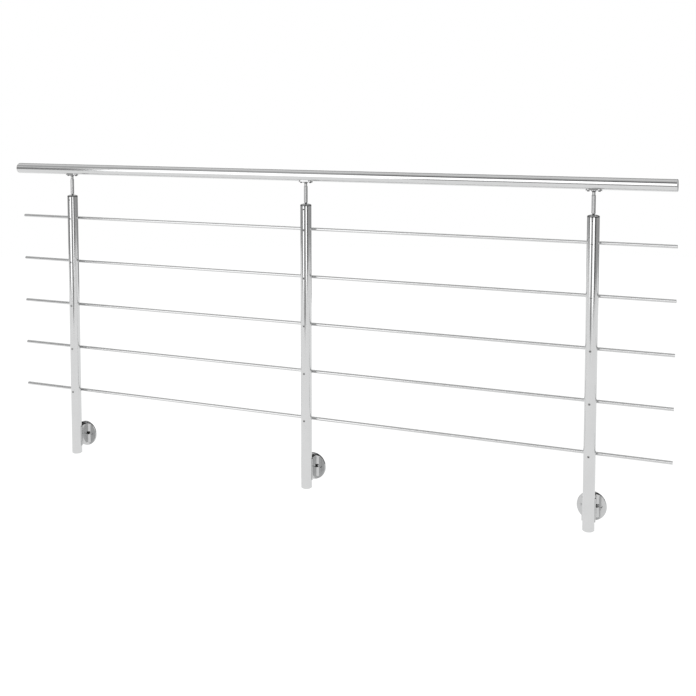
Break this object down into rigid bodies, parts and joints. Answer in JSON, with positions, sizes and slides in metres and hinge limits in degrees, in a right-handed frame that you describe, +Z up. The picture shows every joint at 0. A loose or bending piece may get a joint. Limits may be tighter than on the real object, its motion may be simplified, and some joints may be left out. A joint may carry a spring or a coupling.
{
  "type": "horizontal bar railing",
  "caption": "Side-mounted steel guard railing with round posts, a round handrail on pins and thin horizontal bars, fixed to a wall face by round flanges.",
  "frame": {"origin": "centre of the middle wall flange's back face, which lies on the wall", "axes": "+X along the railing, +Y into the wall, +Z up"},
  "size_m": [2.72, 0.0894, 1.2362],
  "materials": {
    "brushed_tube": "satin ground stainless steel tube",
    "bright_bar": "bright drawn stainless steel rod",
    "turned_steel": "turned and polished stainless steel",
    "flange_steel": "cast stainless steel, fine ground",
    "dark_screw": "stainless steel screws, darker"
  },
  "bodies": {
    "root": {"handrail_tube": "brushed_tube", "handrail_end_cap_left": "turned_steel", "bar_end_caps_left": "turned_steel", "handrail_end_cap_right": "turned_steel", "bar_end_caps_right": "turned_steel", "cross_bar_1": "bright_bar", "cross_bar_2": "bright_bar", "cross_bar_3": "bright_bar", "cross_bar_4": "bright_bar", "cross_bar_5": "bright_bar", "post_left": "brushed_tube", "foot_cap_left": "turned_steel", "post_head_left": "turned_steel", "support_pin_left": "bright_bar", "saddle_left": "turned_steel", "bar_washers_left": "turned_steel", "bar_screws_left": "dark_screw", "wall_flange_left": "flange_steel", "post_middle": "brushed_tube", "foot_cap_middle": "turned_steel", "post_head_middle": "turned_steel", "support_pin_middle": "bright_bar", "saddle_middle": "turned_steel", "bar_washers_middle": "turned_steel", "bar_screws_middle": "dark_screw", "wall_flange_middle": "flange_steel", "post_right": "brushed_tube", "foot_cap_right": "turned_steel", "post_head_right": "turned_steel", "support_pin_right": "bright_bar", "saddle_right": "turned_steel", "bar_washers_right": "turned_steel", "bar_screws_right": "dark_screw", "wall_flange_right": "flange_steel", "head_set_screws": "dark_screw", "saddle_screws": "dark_screw", "post_studs": "dark_screw", "stud_nuts": "dark_screw", "stud_grip_screws": "dark_screw"}
  },
  "joints": []
}
